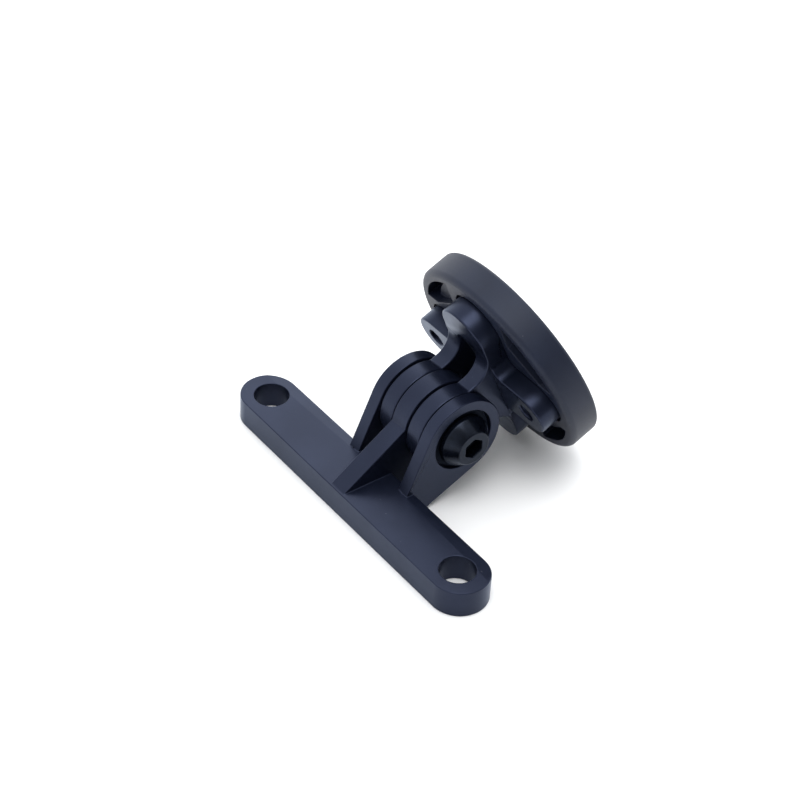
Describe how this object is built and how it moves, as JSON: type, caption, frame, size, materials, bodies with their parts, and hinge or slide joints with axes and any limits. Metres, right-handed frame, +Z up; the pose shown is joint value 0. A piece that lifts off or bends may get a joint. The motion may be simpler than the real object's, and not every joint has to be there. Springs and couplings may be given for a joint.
{
  "type": "swivel bracket",
  "caption": "Two-hole bar bracket with a three-eared tilt hinge that carries a round quarter-turn receiver on a two-fingered head.",
  "frame": {"origin": "centre of the bar's underside, midway between its two bolt holes", "axes": "+X along the bar, +Y from the bar back towards the hinge and the head, +Z up from the mounting surface"},
  "size_m": [0.0572, 0.0408, 0.0334],
  "materials": {
    "satin_black_metal": "black anodised, fine satin",
    "black_oxide_steel": "black oxide, lightly oiled",
    "matte_black_plastic": "moulded, fine matte grain"
  },
  "bodies": {
    "base": {"base_bracket": "satin_black_metal", "hinge_washer": "black_oxide_steel", "hinge_nut": "black_oxide_steel"},
    "clamp_bolt": {"hinge_bolt": "black_oxide_steel"},
    "head": {"head_bracket": "satin_black_metal", "puck_body": "matte_black_plastic", "receiver_screw_left": "black_oxide_steel", "receiver_screw_right": "black_oxide_steel"}
  },
  "joints": [
    {"name": "head_tilt", "type": "hinge", "parent": "base", "child": "head", "pos_m": [0, 0.01335, 0.0108], "axis": [1, 0, 0], "range_deg": [-102, 116]},
    {"name": "clamp_bolt_turn", "type": "hinge", "parent": "base", "child": "clamp_bolt", "pos_m": [0, 0.01335, 0.0108], "axis": [1, 0, 0], "continuous": true}
  ]
}
